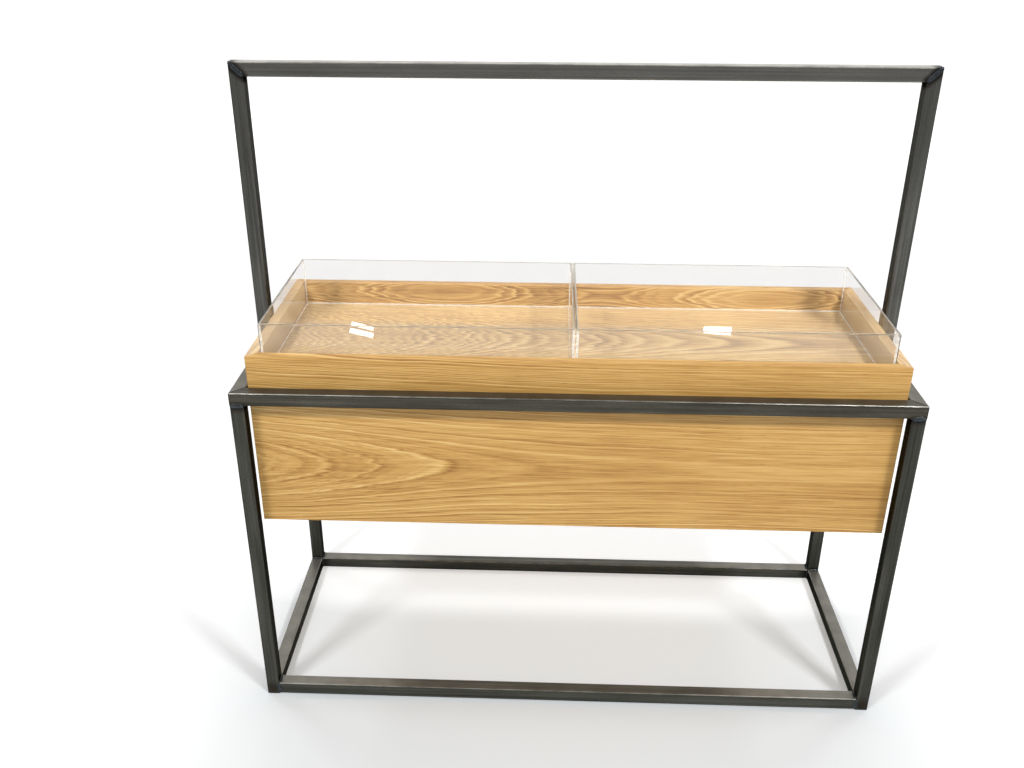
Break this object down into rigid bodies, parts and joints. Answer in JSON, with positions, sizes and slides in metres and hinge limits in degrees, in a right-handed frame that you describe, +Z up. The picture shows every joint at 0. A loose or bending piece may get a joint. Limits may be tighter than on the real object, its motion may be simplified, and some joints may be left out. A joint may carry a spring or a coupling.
{
  "type": "retail display case",
  "caption": "Free-standing shop display case: welded square-tube frame, oak box hung in its ring, lift-out clear bins on the deck inside the rim, and a sign hoop overhead.",
  "frame": {"origin": "on the floor, under the middle of the frame", "axes": "+Z up, +X along the length to the right as seen from the front, and the front faces -Y"},
  "size_m": [1.219, 0.457, 1.219],
  "materials": {
    "steel": "raw mild steel under satin clear lacquer, ground welds",
    "oak": "oiled oak veneer on board, lengthwise grain",
    "acrylic": "clear cast acrylic sheet with polished edges",
    "zinc": "zinc-plated screw",
    "nylon": "black moulded nylon"
  },
  "bodies": {
    "frame": {"leg_front_left": "steel", "leg_front_right": "steel", "leg_rear_left": "steel", "leg_rear_right": "steel", "bottom_rail_front": "steel", "bottom_rail_rear": "steel", "bottom_rail_left": "steel", "bottom_rail_right": "steel", "ring_rail_front": "steel", "ring_rail_rear": "steel", "ring_rail_left": "steel", "ring_rail_right": "steel", "hoop_post_left": "steel", "hoop_post_right": "steel", "hoop_top_rail": "steel", "leg_plug_front_left": "nylon", "leg_plug_front_right": "nylon", "leg_plug_rear_left": "nylon", "leg_plug_rear_right": "nylon", "box_front_panel": "oak", "box_rear_panel": "oak", "box_left_panel": "oak", "box_right_panel": "oak", "box_bottom_panel": "oak", "deck_panel": "oak", "deck_cleat_front": "oak", "deck_cleat_rear": "oak", "deck_cleat_left": "oak", "deck_cleat_right": "oak", "box_screw_left_front": "zinc", "box_screw_left_middle": "zinc", "box_screw_left_rear": "zinc", "box_screw_right_front": "zinc", "box_screw_right_middle": "zinc", "box_screw_right_rear": "zinc", "box_spacer_left_front": "nylon", "box_spacer_left_middle": "nylon", "box_spacer_left_rear": "nylon", "box_spacer_right_front": "nylon", "box_spacer_right_middle": "nylon", "box_spacer_right_rear": "nylon"},
    "left_bin": {"left_bin_front": "acrylic", "left_bin_rear": "acrylic", "left_bin_left_end": "acrylic", "left_bin_right_end": "acrylic", "left_bin_floor": "acrylic"},
    "right_bin": {"right_bin_front": "acrylic", "right_bin_rear": "acrylic", "right_bin_left_end": "acrylic", "right_bin_right_end": "acrylic", "right_bin_floor": "acrylic"}
  },
  "joints": [
    {"name": "left_bin_lift", "type": "slide", "parent": "frame", "child": "left_bin", "axis": [0, 0, 1], "range_m": [0, 0.15]},
    {"name": "right_bin_lift", "type": "slide", "parent": "frame", "child": "right_bin", "axis": [0, 0, 1], "range_m": [0, 0.15]}
  ]
}
